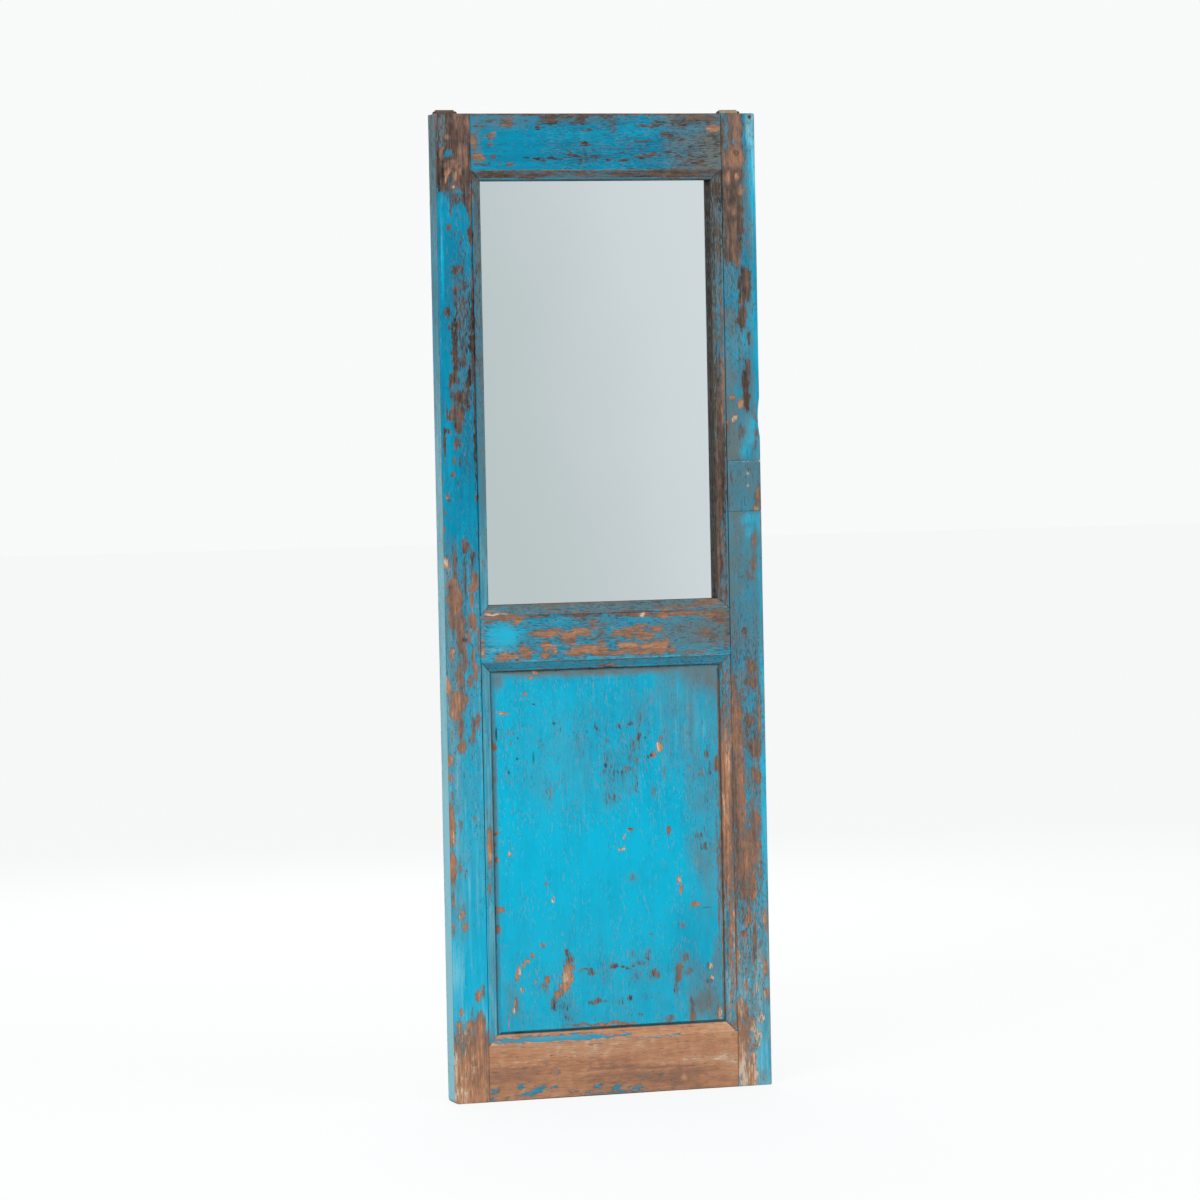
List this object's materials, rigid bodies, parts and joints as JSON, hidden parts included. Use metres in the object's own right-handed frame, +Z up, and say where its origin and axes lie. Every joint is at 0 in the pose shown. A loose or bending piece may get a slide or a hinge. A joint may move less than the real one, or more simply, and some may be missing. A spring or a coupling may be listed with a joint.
{
  "type": "shutter mirror",
  "caption": "Tall narrow wall or leaning mirror made from a framed and panelled wooden shutter leaf, with the mirror in its upper opening.",
  "frame": {"origin": "centre of the object's box in X and Y, on the plane the foot stands on", "axes": "+Z up, -Y out of the mirror's front, +X to the right in a front view"},
  "size_m": [0.51, 0.0476, 1.5083],
  "materials": {
    "painted_timber": "old turquoise paint worn through to brown timber",
    "bare_timber": "bare brown timber with traces of paint",
    "bead_pine": "plain sawn softwood",
    "hardboard": "matt brown hardboard",
    "silvered_glass": "clear float glass, silvered",
    "rusty_iron": "dark iron with a little rust",
    "strap_steel": "dull tarnished sheet steel"
  },
  "bodies": {
    "frame": {"left_stile": "painted_timber", "right_stile": "painted_timber", "top_rail": "painted_timber", "middle_rail": "painted_timber", "bottom_rail": "bare_timber", "lower_panel": "painted_timber", "lock_patch": "painted_timber", "peg_top_left": "bare_timber", "peg_top_right": "bare_timber", "peg_middle_left": "bare_timber", "peg_middle_right": "bare_timber", "peg_bottom_left": "bare_timber", "peg_bottom_right": "bare_timber", "mirror_glass": "silvered_glass", "backing_board": "hardboard", "bead_top": "bead_pine", "bead_nail_top_1": "rusty_iron", "bead_nail_top_2": "rusty_iron", "bead_bottom": "bead_pine", "bead_nail_bottom_1": "rusty_iron", "bead_nail_bottom_2": "rusty_iron", "bead_left": "bead_pine", "bead_nail_left_1": "rusty_iron", "bead_nail_left_2": "rusty_iron", "bead_nail_left_3": "rusty_iron", "bead_right": "bead_pine", "bead_nail_right_1": "rusty_iron", "bead_nail_right_2": "rusty_iron", "bead_nail_right_3": "rusty_iron", "edge_nail": "rusty_iron", "corner_nail": "rusty_iron", "patch_nail_lower": "rusty_iron", "patch_nail_upper": "rusty_iron", "hanger_strap_left": "strap_steel", "hanger_screw_left_upper": "rusty_iron", "hanger_screw_left_lower": "rusty_iron", "hanger_strap_right": "strap_steel", "hanger_screw_right_upper": "rusty_iron", "hanger_screw_right_lower": "rusty_iron"},
    "ring_left": {"hanger_ring_left": "rusty_iron"},
    "ring_right": {"hanger_ring_right": "rusty_iron"}
  },
  "joints": [
    {"name": "ring_left_swing", "type": "hinge", "parent": "frame", "child": "ring_left", "pos_m": [-0.227, 0.02015, 1.5046], "axis": [1, 0, 0], "range_deg": [0, 270]},
    {"name": "ring_right_swing", "type": "hinge", "parent": "frame", "child": "ring_right", "pos_m": [0.227, 0.02015, 1.5046], "axis": [1, 0, 0], "range_deg": [0, 270]}
  ]
}
